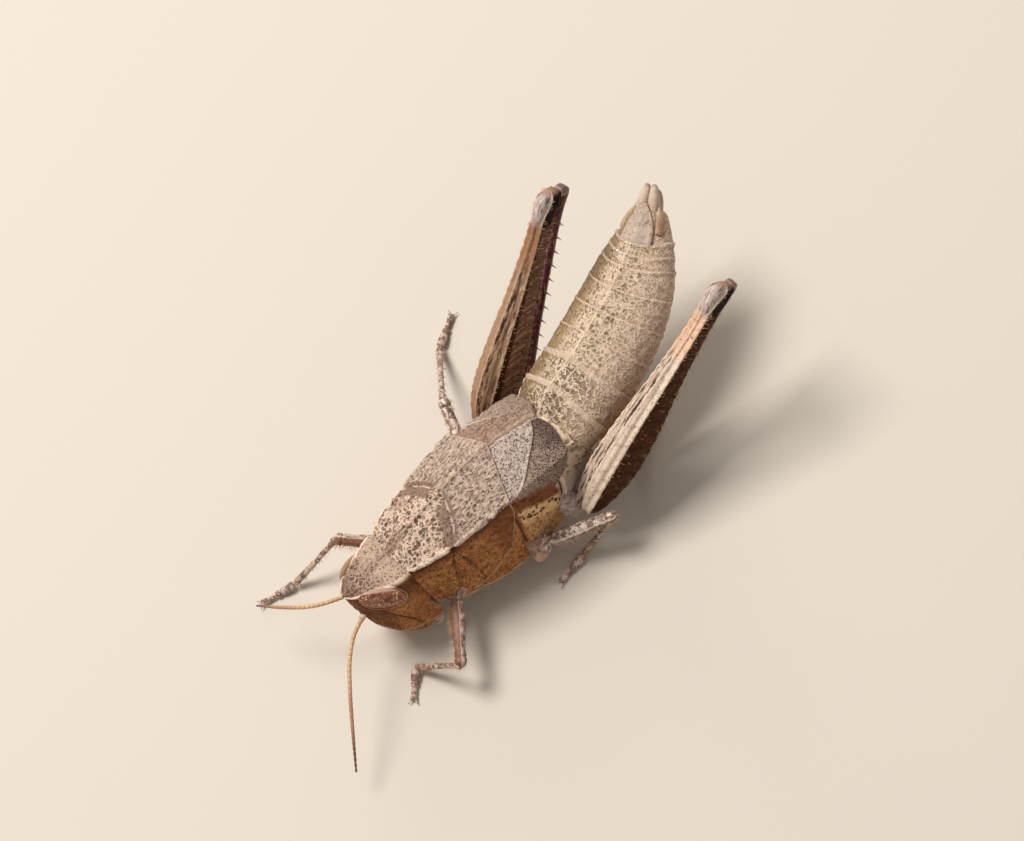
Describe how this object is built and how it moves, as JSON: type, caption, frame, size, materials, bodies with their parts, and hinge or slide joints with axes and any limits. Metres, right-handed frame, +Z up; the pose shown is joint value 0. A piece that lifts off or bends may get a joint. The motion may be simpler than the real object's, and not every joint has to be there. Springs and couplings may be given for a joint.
{
  "type": "brown leaf-litter grasshopper with short wing pads, crouching",
  "caption": "Still life-size model of a wingless-looking brown grasshopper crouching with its jumping legs folded and its abdomen bent, standing on its feet.",
  "frame": {"origin": "centre of the box's underside, on the floor the feet stand on", "axes": "+Z up, head towards -Y, the animal's left side towards +X"},
  "size_m": [0.0206, 0.0372, 0.0153],
  "materials": {
    "back_cuticle": "finely pitted grey-tan shell plate",
    "flank_cuticle": "warm brown mottled shell plate",
    "abdomen_cuticle": "pale tan plate with a net of small brown spots",
    "wing_pad_cuticle": "pale and dark brown netted leaf",
    "eye_lens": "smooth dark red-brown faceted eye",
    "feeler_cuticle": "ringed gold-brown feeler, dark at its tip",
    "leg_cuticle": "marbled tan and brown leg",
    "hind_leg_cuticle": "tan above, dark brown on the faces",
    "shin_cuticle": "dark maroon spined shin"
  },
  "bodies": {
    "root": {"head": "flank_cuticle", "mouthparts": "flank_cuticle", "pterothorax": "flank_cuticle", "hind_left_coxa": "flank_cuticle", "hind_right_coxa": "flank_cuticle", "pronotum": "back_cuticle", "wing_pad_left": "wing_pad_cuticle", "wing_pad_right": "wing_pad_cuticle", "eye_left": "eye_lens", "eye_right": "eye_lens", "antenna_left": "feeler_cuticle", "antenna_right": "feeler_cuticle", "palp_left": "leg_cuticle", "palp_right": "leg_cuticle", "abdomen_1": "abdomen_cuticle", "abdomen_2": "abdomen_cuticle", "abdomen_3": "abdomen_cuticle", "abdomen_4": "abdomen_cuticle", "abdomen_5": "abdomen_cuticle", "abdomen_6": "abdomen_cuticle", "abdomen_7": "abdomen_cuticle", "abdomen_8": "abdomen_cuticle", "tail_plate": "abdomen_cuticle", "valve_left": "abdomen_cuticle", "valve_right": "abdomen_cuticle", "cercus_left": "abdomen_cuticle", "cercus_right": "abdomen_cuticle", "fore_left_femur": "leg_cuticle", "fore_left_tibia": "leg_cuticle", "fore_left_tarsus": "leg_cuticle", "fore_right_femur": "leg_cuticle", "fore_right_tibia": "leg_cuticle", "fore_right_tarsus": "leg_cuticle", "mid_left_femur": "leg_cuticle", "mid_left_tibia": "leg_cuticle", "mid_left_tarsus": "leg_cuticle", "mid_right_femur": "leg_cuticle", "mid_right_tibia": "leg_cuticle", "mid_right_tarsus": "leg_cuticle", "hind_left_femur": "hind_leg_cuticle", "hind_left_tibia": "shin_cuticle", "hind_left_tarsus": "leg_cuticle", "hind_right_femur": "hind_leg_cuticle", "hind_right_tibia": "shin_cuticle", "hind_right_tarsus": "leg_cuticle"}
  },
  "joints": []
}
